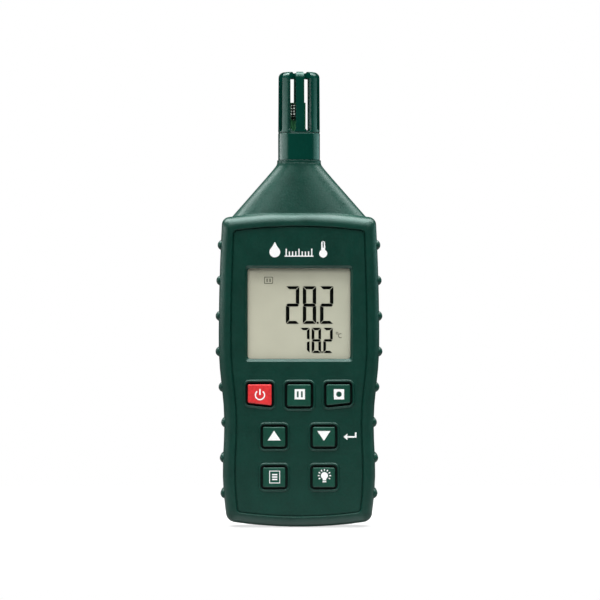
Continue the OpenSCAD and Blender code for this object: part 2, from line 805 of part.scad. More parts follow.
// A flat ribbon that falls from the sensor board in an S-curve and enters its socket
module sensor_ribbon() {
    steps = 16;
    top = sensor_board_foot_z + 2.5;
    low = socket_z;
    top_y = -sensor_board_t / 2 - ribbon_t / 2;
    path = concat(
        [[top_y, top]],
        [for (i = [0 : steps]) let (t = i / steps)
            [top_y + (ribbon_y - top_y) * ease(t),
             sensor_board_foot_z + (low + 2 - sensor_board_foot_z) * t]],
        [[ribbon_y, low - socket_h + 1.2]]
    );
    n = len(path);
    normals = [for (i = [0 : n - 1])
        let (d = path[min(i + 1, n - 1)] - path[max(i - 1, 0)]) [d[1], -d[0]] / norm(d) * ribbon_t / 2];
    color("gainsboro") rotate([90, 0, 90]) translate([0, 0, -ribbon_w / 2]) linear_extrude(ribbon_w)
        polygon(concat(
            [for (i = [0 : n - 1]) path[i] + normals[i]],
            [for (i = [n - 1 : -1 : 0]) path[i] - normals[i]]
        ));
}

// The rubber mat on the board, with a hollow dome under each key
module keypad_mat() {
    mat_t = 0.8;
    dome_top_y = key_bottom_y + key_travel + 0.05;
    dome_r = 3.6;
    dome_top_r = 2.4;
    margin = 2.4;
    foot_z = third_row_z - dome_r - margin;
    head_z = top_row_z - top_key_h / 2 + dome_r + margin;
    color([0.25, 0.27, 0.27]) difference() {
        union() {
            translate([0, 0, (foot_z + head_z) / 2]) along_y(board_y - mat_t, board_y)
                rounded_rect(2 * (top_key_pitch + dome_r + margin), head_z - foot_z, 3);
            for (shape = key_shapes)
                translate([middle(shape)[0], board_y - mat_t + eps, middle(shape)[1]]) rotate([90, 0, 0])
                    cylinder(r1 = dome_r, r2 = dome_top_r, h = board_y - mat_t - dome_top_y + eps);
        }
        for (shape = key_shapes)
            translate([middle(shape)[0], board_y + eps, middle(shape)[1]]) rotate([90, 0, 0])
                cylinder(r1 = dome_r - 0.3, r2 = dome_top_r - 0.6, h = board_y - dome_top_y - 0.8);
    }
}

// One slot of the cage: a wedge with radial walls and rounded lower corners, up through the shoulder
crown_r = cage_top_r - shoulder_r - 1.4;
module cage_slot(foot, top) {
    turn = 360 / slot_count * slot_share;
    corner_clear = 0.4;
    corner_turn = asin(slot_corner_r / cage_top_r) + corner_clear;
    reach = collar_r + 1 - crown_r;
    rotate([0, 0, -turn / 2]) rotate_extrude(angle = turn)
        translate([crown_r, foot + slot_corner_r]) square([reach, top - foot]);
    rotate([0, 0, corner_turn - turn / 2]) rotate_extrude(angle = turn - 2 * corner_turn)
        translate([crown_r, foot]) square([reach, 2 * slot_corner_r]);
    for (side = [-1, 1]) rotate([0, 0, side * (turn / 2 - corner_turn)])
        translate([crown_r, 0, foot + slot_corner_r]) rotate([0, 90, 0])
            cylinder(r = slot_corner_r, h = reach);
}

// The slotted cap: a revolved shell with slots that run up through its shoulder
module sensor_cap() {
    groove_w = 0.6;
    groove_d = 0.2;
    slot_foot_z = cage_z + 0.95;
    shoulder_steps = 8;
    top = cap_top_z;
    color(cap_green) difference() {
        rotate_extrude($fn = 96) polygon(concat(
            [
                [cap_bore_r, cap_z], [collar_r, cap_z], [collar_r, cage_z],
                [collar_r - groove_d, cage_z + groove_d], [collar_r - groove_d, cage_z + groove_w - groove_d],
                [collar_r, cage_z + groove_w]
            ],
            [for (i = [0 : shoulder_steps]) let (a = 90 * i / shoulder_steps)
                [cage_top_r - shoulder_r + shoulder_r * cos(a), top - shoulder_r + shoulder_r * sin(a)]],
            [
                [crown_r + 0.7, top], [crown_r, top - crown_dish], [0, top - crown_dish],
                [0, top - crown_dish - roof_t], [cap_bore_r, top - crown_dish - roof_t]
            ]
        ));
        for (i = [0 : slot_count - 1]) rotate([0, 0, cage_turn + (i + 0.5) * 360 / slot_count - 90])
            cage_slot(slot_foot_z, top + 1);
    }
}

module sensor_holder() {
    top = cage_z - 0.4;
    foot = ring_z - bore_drop - 3;
    slot_clear = 0.1;
    color([0.1, 0.12, 0.12]) difference() {
        union() {
            translate([0, 0, foot]) cylinder(r = holder_r, h = top - foot);
            translate([0, 0, holder_flange_z]) cylinder(r = holder_flange_r, h = holder_flange_t);
        }
        translate([sensor_board_x, 0, 0])
            span([-sensor_board_w / 2 - slot_clear, -sensor_board_t / 2 - slot_clear, foot - 1],
                 [sensor_board_w / 2 + slot_clear, sensor_board_t / 2 + slot_clear, top + 1]);
    }
}

module sensor_board() {
    color(board_green) translate([sensor_board_x, 0, 0])
        span([-sensor_board_w / 2, -sensor_board_t / 2, sensor_board_foot_z],
             [sensor_board_w / 2, sensor_board_t / 2, sensor_board_top_z]);
}

module humidity_sensor() {
    face = -sensor_board_t / 2;
    color([0.85, 0.85, 0.8]) translate([sensor_board_x, 0, 0]) {
        span([-3.1, face - 1.3, sensor_board_top_z - 6.2], [0.1, face, sensor_board_top_z - 0.4]);
        for (i = [0 : 3])
            span([-2.9 + i * 0.8, face - 0.5, sensor_board_top_z - 7.4],
                 [-2.5 + i * 0.8, face, sensor_board_top_z - 6.2 + eps]);
    }
}

module thermistor() {
    bead = 0.75;
    color([0.15, 0.1, 0.08]) translate([sensor_board_x, 0, 0]) {
        translate([1.9, -sensor_board_t / 2 - bead, sensor_board_top_z - 1.6]) sphere(bead);
        for (x = [1.6, 2.2]) translate([x, -sensor_board_t / 2 - 0.3, sensor_board_top_z - 6.5])
            cylinder(r = 0.15, h = 4.6);
    }
}

module battery() {
    color([0.2, 0.2, 0.22]) {
        translate([0, battery_y + battery_t / 2, battery_z]) linear_extrude(battery_h)
            rounded_rect(battery_w, battery_t, 2);
        for (x = [-1, 1]) translate([x * 6.35, battery_y + battery_t / 2, battery_z + battery_h - eps])
            cylinder(r = x < 0 ? 2.8 : 3.6, h = terminal_h);
    }
}

snap_z = battery_z + battery_h + terminal_h + 0.05;
module battery_snap() {
    color([0.08, 0.08, 0.08]) {
        translate([0, battery_y + battery_t / 2, snap_z]) linear_extrude(snap_h - 1.6)
            rounded_rect(25.4, 14, 3);
        translate([0, battery_y + battery_t / 2, snap_z + snap_h - 1.6 - eps]) linear_extrude(1.6)
            rounded_rect(12, 8, 2);
    }
}

// A lead in the plane x = const, swept along a smooth curve through its points
lead_r = 0.7;
lead_start_z = snap_z + snap_h + 0.1;
lead_start_y = battery_y + battery_t / 2;
lead_route = [
    [lead_start_y, lead_start_z], [lead_start_y, lead_start_z + 2.2], [lead_start_y - 2, lead_start_z + 5],
    [0, bay_top_z + 1], [-2, bay_top_z + 5], [board_back_y + 3, bay_top_z + 9.5],
    [board_back_y + 1.6, bay_top_z + 10], [board_back_y + 0.1, bay_top_z + 10]
];
lead_steps = 4;
lead_sides = 8;

function curve_point(a, b, c, d, t) =
    0.5 * (2 * b + (c - a) * t + (2 * a - 5 * b + 4 * c - d) * t * t + (3 * b - a - 3 * c + d) * t * t * t);
function smooth_route(pts) =
    let (n = len(pts))
    concat(
        [for (i = [0 : n - 2], s = [0 : lead_steps - 1])
            curve_point(pts[max(i - 1, 0)], pts[i], pts[i + 1], pts[min(i + 2, n - 1)], s / lead_steps)],
        [pts[n - 1]]
    );

module lead(x) {
    path = smooth_route(lead_route);
    n = len(path);
    skin([for (i = [0 : n - 1])
        let (d = path[min(i + 1, n - 1)] - path[max(i - 1, 0)], side = [d[1], -d[0]] / norm(d) * lead_r)
        [for (j = [0 : lead_sides - 1])
            let (a = 360 * j / lead_sides)
            [x + lead_r * cos(a), path[i][0] - side[0] * sin(a), path[i][1] - side[1] * sin(a)]]]);
}

module red_lead() { color("crimson") lead(3); }
module black_lead() { color([0.1, 0.1, 0.1]) lead(-3); }

front_housing();
rear_housing();
battery_door();
door_pad();
tripod_insert();
case_screws();
display_window();
lcd_glass();
lcd_frame();
backlight_panel();
lcd_connector();
main_board();
microcontroller();
crystal();
board_capacitors();
sensor_socket();
board_screws();
keypad_mat();
power_key();
hold_key();
record_key();
up_key();
down_key();
memory_key();
light_key();
sensor_cap();
sensor_holder();
sensor_board();
humidity_sensor();
thermistor();
sensor_ribbon();
battery();
battery_snap();
red_lead();
black_lead();
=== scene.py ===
import math

import bmesh
import bpy
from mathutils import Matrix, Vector


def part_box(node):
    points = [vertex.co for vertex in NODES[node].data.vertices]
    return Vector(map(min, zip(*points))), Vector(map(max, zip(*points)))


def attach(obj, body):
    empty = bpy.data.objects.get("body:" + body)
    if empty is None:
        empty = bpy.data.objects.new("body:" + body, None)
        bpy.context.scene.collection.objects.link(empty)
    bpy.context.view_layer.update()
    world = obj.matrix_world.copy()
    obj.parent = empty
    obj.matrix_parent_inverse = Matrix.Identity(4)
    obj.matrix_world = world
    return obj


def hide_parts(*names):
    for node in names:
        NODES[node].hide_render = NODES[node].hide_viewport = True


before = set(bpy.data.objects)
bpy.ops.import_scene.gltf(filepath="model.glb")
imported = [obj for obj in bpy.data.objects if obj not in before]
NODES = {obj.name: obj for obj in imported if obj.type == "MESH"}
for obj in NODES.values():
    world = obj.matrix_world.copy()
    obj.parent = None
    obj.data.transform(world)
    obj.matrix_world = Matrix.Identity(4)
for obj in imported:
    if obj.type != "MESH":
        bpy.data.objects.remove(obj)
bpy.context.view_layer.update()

MM = 0.001


# Node materials. Their sizes are in millimetres.

WAVE_RADIANS = 20  # Blender's wave texture turns this far in one unit at scale 1
EDGE_COSINE, FLAT_COSINE = 0.72, 0.995  # between the rounded normal and the face's own


class Finish:
    """One node material: a Principled shader that noise in the object's own space feeds."""

    def __init__(self, name, **sockets):
        self.material = bpy.data.materials.new(name)
        self.material.use_nodes = True
        self.tree = self.material.node_tree
        self.shader = self.tree.nodes["Principled BSDF"]
        self.set(**sockets)
        self.place = self.node("ShaderNodeTexCoord").outputs["Object"]
        self.normal = None

    def set(self, **sockets):
        """Sets or links the shader's sockets: Base_Color=..., Roughness=..."""
        for label, value in sockets.items():
            self.feed(self.shader.inputs[label.replace("_", " ")], value)

    def feed(self, socket, value):
        """Links a socket's value, or sets a plain one."""
        if isinstance(value, bpy.types.NodeSocket):
            self.tree.links.new(value, socket)
        else:
            socket.default_value = value

    def node(self, kind, inputs=None, **attributes):
        """Adds a node, and links or sets its inputs."""
        made = self.tree.nodes.new(kind)
        for label, value in attributes.items():
            setattr(made, label, value)
        for key, value in (inputs or {}).items():
            self.feed(made.inputs[key], value)
        return made

    def noise(self, size, detail=2.0, stretch=(1, 1, 1)):
        """Noise from 0 to 1 whose features are about size millimetres."""
        scale = tuple(s / (size * MM) for s in stretch)
        moved = self.node("ShaderNodeMapping", {"Vector": self.place, "Scale": scale})
        return self.node("ShaderNodeTexNoise",
                         {"Vector": moved.outputs[0], "Scale": 1.0, "Detail": detail}).outputs["Fac"]

    def spread(self, value, low, high, start=0.25, end=0.75):
        """Maps a value's start to end onto low to high."""
        return self.node("ShaderNodeMapRange", {"Value": value, "From Min": start, "From Max": end,
                                                "To Min": low, "To Max": high}).outputs[0]

    def mask(self, value, start=0.25, end=0.75):
        """Maps a value's start to end onto 0 to 1."""
        return self.spread(value, 0.0, 1.0, start, end)

    def blend(self, share, a, b):
        """Mixes the colours a and b, where a share of 1 is all b."""
        mix = self.node("ShaderNodeMix", data_type="RGBA")
        for index, value in ((0, share), (6, a), (7, b)):
            self.feed(mix.inputs[index], value)
        return mix.outputs[2]

    def combine(self, operation, a, b=0.0, c=0.0):
        """A math node's result."""
        return self.node("ShaderNodeMath", {0: a, 1: b, 2: c}, operation=operation).outputs[0]

    def axis(self, name):
        """The place along X, Y or Z, in metres."""
        return self.node("ShaderNodeSeparateXYZ", {"Vector": self.place}).outputs[name]

    def waves(self, direction, pitch):
        """Sine waves from 0 to 1 of that pitch along X, Y or Z."""
        scale = math.tau / (WAVE_RADIANS * pitch * MM)
        return self.node("ShaderNodeTexWave", {"Vector": self.place, "Scale": scale},
                         bands_direction=direction).outputs["Fac"]

    def bump(self, height, depth, strength=1.0):
        """Adds a bump of depth millimetres to the ones made before."""
        inputs = {"Strength": strength, "Distance": depth * MM, "Height": height}
        if self.normal is not None:
            inputs["Normal"] = self.normal
        self.normal = self.node("ShaderNodeBump", inputs).outputs[0]
        self.set(Normal=self.normal)

    def rounded(self, radius):
        """The normal of a face whose sharp edges are rounded by radius millimetres."""
        return self.node("ShaderNodeBevel", {"Radius": radius * MM}, samples=4).outputs[0]

    def soften(self, radius):
        """Rounds sharp edges in shading, before any bump is made."""
        self.normal = self.rounded(radius)
        self.set(Normal=self.normal)

    def edges(self, radius):
        """A mask that is 1 on edges and 0 on flat faces."""
        flat_normal = self.node("ShaderNodeNewGeometry").outputs["Normal"]
        cosine = self.node("ShaderNodeVectorMath", {0: self.rounded(radius), 1: flat_normal},
                           operation="DOT_PRODUCT").outputs["Value"]
        return self.spread(cosine, 1.0, 0.0, EDGE_COSINE, FLAT_COSINE)


GREEN_SHEEN = (0.75, 1.0, 0.95)
# Painted shade for the gaps around the keys
GAP_SHADE_BLACK = (0.003, 0.005, 0.005, 1)
# How much paler edges are painted: wear, and partly a painted highlight
WORN_AND_LIT_PALER = 2.2
POLISH = 0.12


def shade(color, factor):
    """A colour made lighter or darker."""
    return tuple(min(1.0, c * factor) for c in color[:3]) + (1.0,)


def moulded(name, color, rough, grain=0.22, depth=0.02, mottle=0.18, round_edge=0.25, wear_and_highlight=0.25,
            sheen=(1, 1, 1), painted_shade_from=None):
    """Moulded plastic or rubber: a fine grain of that depth over a coarser one, faint clouding and waves, and
    edges worn smoother and painted paler, partly as wear and partly as a painted highlight.
    Behind y = the given depth it is painted nearly black, as the shade in the gap around a key."""
    f = Finish(name, Specular_IOR_Level=0.5, Specular_Tint=(*sheen, 1))
    f.soften(round_edge)
    clouds = f.combine("MULTIPLY_ADD", f.noise(9.0, 3.0), 0.5, f.combine("MULTIPLY", f.noise(0.9), 0.5))
    paint = f.blend(f.mask(clouds, 0.35, 0.65), shade(color, 1 - mottle), shade(color, 1 + mottle))
    # Edges painted paler in patches: wear, and partly a painted highlight along them
    worn_and_lit_edges = f.combine("MULTIPLY", f.edges(round_edge * 1.6), f.spread(f.noise(2.4, 3.0), 0.3, 1.0))
    paint = f.blend(f.combine("MULTIPLY", worn_and_lit_edges, wear_and_highlight), paint, shade(color, WORN_AND_LIT_PALER))
    # Behind that depth the key is painted nearly black: painted shade in the gap around the key in its well
    if painted_shade_from is not None:
        gap_shade = f.mask(f.axis("Y"), painted_shade_from * MM, (painted_shade_from + 0.3) * MM)
        paint = f.blend(gap_shade, paint, GAP_SHADE_BLACK)
    uneven = f.spread(f.noise(3.0, 4.0), rough - 0.05, rough + 0.05)
    f.set(Base_Color=paint,
          Roughness=f.combine("SUBTRACT", uneven, f.combine("MULTIPLY", f.edges(0.9), POLISH)))
    f.bump(f.noise(grain), depth)
    f.bump(f.noise(grain * 4), depth * 2.5)
    f.bump(f.noise(14.0, 1.0), 0.05, 0.4)
    return f.material


def cap_face():
    """Polished plastic: a smooth face with faint flow waves and a few fine scratches."""
    color, rough = (0.0005, 0.038, 0.026), 0.22
    f = Finish("cap_gloss", Specular_IOR_Level=0.5, Specular_Tint=(*GREEN_SHEEN, 1))
    f.soften(0.3)
    f.set(Base_Color=f.blend(f.mask(f.noise(6.0, 3.0)), shade(color, 0.92), shade(color, 1.08)),
          Roughness=f.spread(f.noise(1.5, 5.0), rough - 0.03, rough + 0.04))
    f.bump(f.noise(5.0, 1.0), 0.02, 0.5)
    scratches = f.mask(f.noise(0.25, stretch=(1, 1, 0.06)), 0.66, 0.74)
    f.bump(scratches, 0.004, 0.5)
    return f.material


def metal(name, color, rough, brush=(1, 1, 1), thread=None):
    """Metal with fine machining marks and uneven tarnish, and along Y a thread of that pitch."""
    f = Finish(name, Metallic=1.0)
    f.soften(0.1)
    f.set(Base_Color=f.blend(f.mask(f.noise(2.5, 4.0)), shade(color, 0.8), shade(color, 1.1)),
          Roughness=f.spread(f.noise(0.8, 4.0), rough - 0.08, rough + 0.08))
    f.bump(f.noise(0.2, stretch=brush), 0.01)
    if thread is not None:
        f.bump(f.waves("Y", thread), 0.5)
    return f.material


def display_face():
    """The display's grey reflector: painted darker at the top and paler towards its foot as the shade and
    light in its recess, greener on the right, with fine paper grain.
    """
    f = Finish("display_reflector", Specular_IOR_Level=0.3)
    top, foot = (0.585, 0.575, 0.45, 1), (0.67, 0.66, 0.52, 1)
    right, specks = (0.54, 0.58, 0.46, 1), (0.44, 0.43, 0.33, 1)
    low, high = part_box("lcd_glass")
    # Painted shade at the top and painted light at the foot, as light falls into the recessed window
    tone = f.blend(f.mask(f.axis("Z"), low.z, high.z), foot, top)
    tone = f.blend(f.spread(f.axis("X"), 0.0, 0.35, low.x, high.x), tone, right)
    f.set(Base_Color=f.blend(f.spread(f.noise(0.5, 3.0), 0.0, 0.16), tone, specks),
          Roughness=f.spread(f.noise(1.2, 3.0), 0.4, 0.5))
    f.bump(f.noise(0.15), 0.004)
    return f.material


def clear_window():
    """The clear lens: faint haze and a sheen, and the display shows through."""
    f = Finish("clear_window", Base_Color=(0.03, 0.04, 0.035, 1), IOR=1.49)
    f.set(Alpha=f.spread(f.noise(8.0), 0.025, 0.05), Roughness=f.spread(f.noise(2.0, 3.0), 0.05, 0.12))
    return f.material


def board_face():
    """Solder mask with copper traces that show through it as paler lines."""
    f = Finish("solder_mask", Specular_IOR_Level=0.6)
    mask_green, trace_green = (0.022, 0.15, 0.06, 1), (0.05, 0.26, 0.1, 1)
    trace_scale = 260.0
    lines = f.node("ShaderNodeTexWave",
                   {"Vector": f.place, "Scale": trace_scale, "Distortion": 1.2, "Detail": 1.0},
                   bands_direction="X", wave_profile="TRI").outputs["Fac"]
    traces = f.mask(lines, 0.62, 0.7)
    gaps = f.mask(f.noise(4.0, 1.0), 0.48, 0.52)
    share = f.combine("MULTIPLY", traces, gaps)
    f.set(Base_Color=f.blend(share, mask_green, trace_green),
          Roughness=f.spread(f.noise(1.0, 3.0), 0.25, 0.4))
    f.bump(share, 0.03)
    return f.material


def can_face():
    """The battery's printed wrap: a dark body, a coppery band on top, and bare metal terminals."""
    f = Finish("battery_wrap")
    body, copper = (0.02, 0.02, 0.024, 1), (0.35, 0.16, 0.05, 1)
    scuffed, bare_metal = (0.2, 0.2, 0.2, 1), (0.6, 0.6, 0.6, 1)
    band_h, terminal_h, blur = 14.1 * MM, 2.5 * MM, 0.1 * MM
    z, top = f.axis("Z"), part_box("battery")[1].z
    band, bare = (f.mask(z, top - h - blur, top - h + blur) for h in (band_h, terminal_h))
    scuffs = f.spread(f.noise(0.7, 5.0), 0.0, 0.5, 0.6, 0.8)
    wrap = f.blend(scuffs, f.blend(band, body, copper), scuffed)
    f.set(Base_Color=f.blend(bare, wrap, bare_metal), Metallic=f.combine("MAXIMUM", bare, 0.3),
          Roughness=f.spread(f.noise(1.0, 4.0), 0.28, 0.4))
    f.bump(f.noise(0.6, 3.0), 0.01)
    return f.material


def grille_face():
    """The humidity sensor's dark shell with rows of pale holes."""
    f = Finish("sensor_grille", Specular_IOR_Level=0.4)
    shell, hole = (0.006, 0.009, 0.007, 1), (0.75, 0.85, 0.76, 1)
    pitch = 1.25 * MM
    rows = [f.combine("SINE", f.combine("MULTIPLY", f.axis(name), math.tau / pitch)) for name in "XZ"]
    holes = f.mask(f.combine("ADD", *rows), 0.5, 0.9)
    f.set(Base_Color=f.blend(holes, shell, hole), Roughness=f.spread(f.noise(1.0, 3.0), 0.35, 0.5))
    f.bump(holes, -0.06)
    return f.material


def foam_face():
    """Open-cell foam, with the pits of its cells painted darker as shade."""
    f = Finish("foam_cells", Specular_IOR_Level=0.2)
    pit_shade, wall = (0.008, 0.008, 0.008, 1), (0.06, 0.06, 0.06, 1)
    cell_scale = 1400.0
    cells = f.node("ShaderNodeTexVoronoi", {"Vector": f.place, "Scale": cell_scale}).outputs["Distance"]
    # The cells' pits are painted darker as shade
    f.set(Base_Color=f.blend(f.mask(cells, 0.0, 0.5), pit_shade, wall),
          Roughness=f.spread(f.noise(1.0), 0.85, 0.98))
    f.bump(cells, 0.25)
    return f.material


def ink(name, color, specular=0.4):
    """Printed ink: slightly uneven cover and a satin face."""
    f = Finish(name, Specular_IOR_Level=specular)
    f.set(Base_Color=f.blend(f.mask(f.noise(0.5, 4.0)), shade(color, 0.94), shade(color, 1.03)),
          Roughness=f.spread(f.noise(0.8, 3.0), 0.45, 0.6))
    f.bump(f.noise(0.2), 0.006)
    return f.material


def ribbon_face():
    """A flat cable: pale film with the conductors' ridges along it."""
    f = Finish("ribbon_film", Specular_IOR_Level=0.5)
    film, conductor = (0.42, 0.43, 0.45, 1), (0.62, 0.63, 0.66, 1)
    conductor_pitch = 1.309
    ridge = f.waves("X", conductor_pitch)
    f.set(Base_Color=f.blend(ridge, film, conductor), Roughness=f.spread(f.noise(1.0), 0.35, 0.5))
    f.bump(ridge, 0.06)
    return f.material


HOUSING_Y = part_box("front_housing")[0].y / MM
CASE = moulded("case_satin", (0.002, 0.0345, 0.0235), 0.36, sheen=GREEN_SHEEN)
# The keys' sides behind the housing's face are painted nearly black, as shade in their gaps
KEY_GREEN = moulded("key_green", (0.006, 0.058, 0.037), 0.34, grain=0.3, depth=0.012, sheen=GREEN_SHEEN,
                    painted_shade_from=HOUSING_Y)
KEY_RED = moulded("key_red", (0.73, 0.034, 0.037), 0.36, grain=0.3, depth=0.012, wear_and_highlight=0.1,
                  painted_shade_from=HOUSING_Y)
BLACK = moulded("black_satin", (0.012, 0.013, 0.013), 0.45)
RUBBER = moulded("mat_grey", (0.05, 0.055, 0.055), 0.7, wear_and_highlight=0.1)
PALE = moulded("pale_nylon", (0.62, 0.6, 0.54), 0.45, wear_and_highlight=0.05)
CERAMIC = moulded("ceramic_tan", (0.3, 0.19, 0.1), 0.5, wear_and_highlight=0.1)
RED_WIRE = moulded("wire_red", (0.45, 0.01, 0.015), 0.4, wear_and_highlight=0.1)
STEEL = metal("screw_steel", (0.5, 0.5, 0.52), 0.35)
BRASS = metal("turned_brass", (0.66, 0.45, 0.18), 0.3, brush=(1, 30, 1), thread=1.27)
BOARD = board_face()
WHITE_INK = ink("white_ink", (0.98, 1.0, 0.99))
BLACK_INK = ink("display_black", (0.0015, 0.0015, 0.001), specular=0.03)
FAINT_INK = ink("display_faint", (0.15, 0.15, 0.11))

DRESS = {
    "front_housing": CASE, "rear_housing": CASE, "battery_door": CASE,
    "sensor_cap": cap_face(),
    "power_key": KEY_RED,
    "tripod_insert": BRASS, "case_screws": STEEL, "board_screws": STEEL, "crystal": STEEL,
    "display_window": clear_window(), "lcd_glass": display_face(),
    "lcd_frame": PALE, "backlight_panel": PALE, "sensor_socket": PALE,
    "lcd_connector": RUBBER, "keypad_mat": RUBBER,
    "main_board": BOARD, "sensor_board": BOARD,
    "microcontroller": BLACK, "sensor_holder": BLACK, "thermistor": BLACK, "battery_snap": BLACK,
    "black_lead": BLACK, "red_lead": RED_WIRE,
    "board_capacitors": CERAMIC, "humidity_sensor": grille_face(), "sensor_ribbon": ribbon_face(),
    "battery": can_face(),
}
for key in ("hold_key", "record_key", "up_key", "down_key", "memory_key", "light_key"):
    DRESS[key] = KEY_GREEN
for node_name, material in DRESS.items():
    for material_slot in NODES[node_name].material_slots:
        material_slot.material = material


# Shading of the moulded faces

CORNER_WELD = 0.002 * MM


def corners_by_place(mesh):
    """The mesh's face corners, as pairs of a face and a loop, by the place where they meet."""
    meeting = {}
    for face in mesh.polygons:
        for loop in face.loop_indices:
            corner = mesh.vertices[mesh.loops[loop].vertex_index].co
            place = tuple(round(c / CORNER_WELD) for c in corner)
            meeting.setdefault(place, []).append((face.index, loop))
    return meeting


def curve_facets(node, limit=34.0):
    """Shades a node's facets that meet under limit degrees as the curved face that they stand for."""
    mesh = NODES[node].data
    normals = [tuple(corner.vector) for corner in mesh.corner_normals]
    least = math.cos(math.radians(limit))
    for around in corners_by_place(mesh).values():
        for own, loop in around:
            facing = mesh.polygons[own].normal
            total = Vector()
            for other, _ in around:
                face = mesh.polygons[other]
                if face.normal.dot(facing) > least:
                    total += face.normal * face.area
            if total.length > 0:
                normals[loop] = tuple(total.normalized())
    for face in mesh.polygons:
        face.use_smooth = True
    mesh.normals_split_custom_set(normals)


for node_name in ("front_housing", "rear_housing"):
    curve_facets(node_name)


# Flat shapes, drawn from the front as loops of x and z in millimetres

def circle(cx, cz, r, steps=40, start=0.0, turn=360.0):
    """A circle or an arc, in degrees."""
    count = steps if turn >= 360 else steps + 1
    angles = [math.radians(start + turn * i / steps) for i in range(count)]
    return [(cx + r * math.cos(a), cz + r * math.sin(a)) for a in angles]


def box(cx, cz, w, h):
    """A rectangle about its centre."""
    left, right, foot, top = cx - w / 2, cx + w / 2, cz - h / 2, cz + h / 2
    return [(left, foot), (right, foot), (right, top), (left, top)]


def soft_box(cx, cz, w, h, r):
    """A rectangle with round corners."""
    points = []
    for i, (sx, sz) in enumerate(((1, 1), (-1, 1), (-1, -1), (1, -1))):
        points += circle(cx + sx * (w / 2 - r), cz + sz * (h / 2 - r), r, 5, 90 * i, 90)
    return points


def arc_band(cx, cz, r, width, start, turn, steps=40):
    """A band along an arc, in degrees."""
    outer = circle(cx, cz, r + width / 2, steps, start, turn)
    inner = circle(cx, cz, r - width / 2, steps, start, turn)
    return outer + inner[::-1]


def triangle(cx, cz, way):
    """The mark of an arrow key: it points up where way is 1, and down where it is -1."""
    half_w, tip, base = 2.85, 2.2, 2.1
    return [(cx - half_w, cz - way * base), (cx + half_w, cz - way * base), (cx, cz + way * tip)]


# Printed pieces

PANEL_SINK = 0.6
PANEL_Y = HOUSING_Y + PANEL_SINK
GLASS_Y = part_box("lcd_glass")[0].y / MM
KEY_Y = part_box("power_key")[0].y / MM
INK_LIFT = 0.03
SIGN_LIFT = 0.04
DIGIT_LIFT = 0.05


def spot(node, right=0.0, up=0.0):
    """The middle of the top edge of a node's front, moved right and up, in millimetres."""
    low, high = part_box(node)
    return (low.x + high.x) / 2 / MM + right, high.z / MM + up


def add_piece(name, bm, material):
    """Makes an object of a mesh under construction."""
    mesh = bpy.data.meshes.new(name)
    bm.to_mesh(mesh)
    bm.free()
    mesh.materials.append(material)
    piece = bpy.data.objects.new(name, mesh)
    bpy.context.scene.collection.objects.link(piece)
    return piece


def printed(name, shapes, face_y, material, body, lift=INK_LIFT):
    """A printed piece on the face at face_y, whose shapes are loops, or lists of a loop and its holes."""
    bm = bmesh.new()
    for shape in shapes:
        loops = shape if isinstance(shape[0], list) else [shape]
        edges = []
        for loop in loops:
            ring = [bm.verts.new((x * MM, (face_y - lift) * MM, z * MM)) for x, z in loop]
            edges += [bm.edges.new((ring[i], ring[(i + 1) % len(ring)])) for i in range(len(ring))]
        front = [g for g in bmesh.ops.triangle_fill(bm, use_beauty=True, edges=edges)["geom"]
                 if isinstance(g, bmesh.types.BMFace)]
        grown = bmesh.ops.extrude_face_region(bm, geom=front)["geom"]
        back = [g for g in grown if isinstance(g, bmesh.types.BMVert)]
        bmesh.ops.translate(bm, vec=(0, lift * MM, 0), verts=back)
    bmesh.ops.recalc_face_normals(bm, faces=bm.faces)
    piece = add_piece(name, bm, material)
    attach(piece, body)


def white_mark(name, shapes, body):
    """A white mark on a key, or on the panel where the body is the case."""
    printed(name, shapes, PANEL_Y if body == "case" else KEY_Y, WHITE_INK, body)


# The reading on the display, in seven segments

SEGMENTS = {"2": "abged", "8": "abcdefg", "7": "abc"}
SEGMENT_GAP = 0.17
COLUMN_CUT = 0.15


def end_bar(x0, x1, outer, inner):
    """The top or the bottom segment, with mitred ends."""
    cut = abs(outer - inner)
    return [(x0, outer), (x1, outer), (x1 - cut, inner), (x0 + cut, inner)]


def middle_bar(x0, x1, z, half):
    """The segment across the middle, with pointed ends."""
    left, right = x0 + half, x1 - half
    return [(left, z - half), (right, z - half), (x1, z), (right, z + half), (left, z + half), (x0, z)]


def column(edge, inner, near, far, way):
    """An upright segment from near the digit's middle to far from it: way is 1 upwards and -1 downwards."""
    width = abs(inner - edge)
    return [(edge, near + way * COLUMN_CUT * width), (edge, far), (inner, far - way * width),
            (inner, near + way * width / 2)]


def digit(x, z, w, h, side, end, lit):
    """The lit segments of a digit: x, z is its lower left corner, side and end are the strokes' widths."""
    middle, x0, x1 = z + h / 2, x + SEGMENT_GAP, x + w - SEGMENT_GAP
    segments = {"a": end_bar(x0, x1, z + h, z + h - end), "g": middle_bar(x0, x1, middle, end / 2),
                "d": end_bar(x0, x1, z, z + end)}
    for names, edge, inner in (("fe", x, x + side), ("bc", x + w, x + w - side)):
        for name, way, end_z in zip(names, (1, -1), (z + h, z)):
            near, far = middle + way * SEGMENT_GAP, end_z - way * SEGMENT_GAP
            segments[name] = column(edge, inner, near, far, way)
    return [segments[name] for name in lit]


def number(digits, places, z, w, h, side, end):
    """A row of digits of one size, each from its left edge in places."""
    drawn = [digit(x, z, w, h, side, end, SEGMENTS[text]) for text, x in zip(digits, places)]
    return [segment for segments in drawn for segment in segments]


def display_reading():
    """Two plain numbers, each with its point."""
    top = spot("lcd_glass")[1]
    big_foot, small_foot = top - 26.0, top - 38.8
    shapes = number("282", (-5.75, 1.65, 9.2), z=big_foot, w=5.9, h=16.5, side=1.55, end=1.3)
    shapes += number("782", (0.5, 5.55, 10.65), z=small_foot, w=4.15, h=11.1, side=1.2, end=1.05)
    shapes += [box(8.2, big_foot + 0.5, 0.85, 0.9), box(10.15, small_foot + 0.4, 0.6, 0.7)]
    printed("display_digits", shapes, GLASS_Y, BLACK_INK, "case", DIGIT_LIFT)


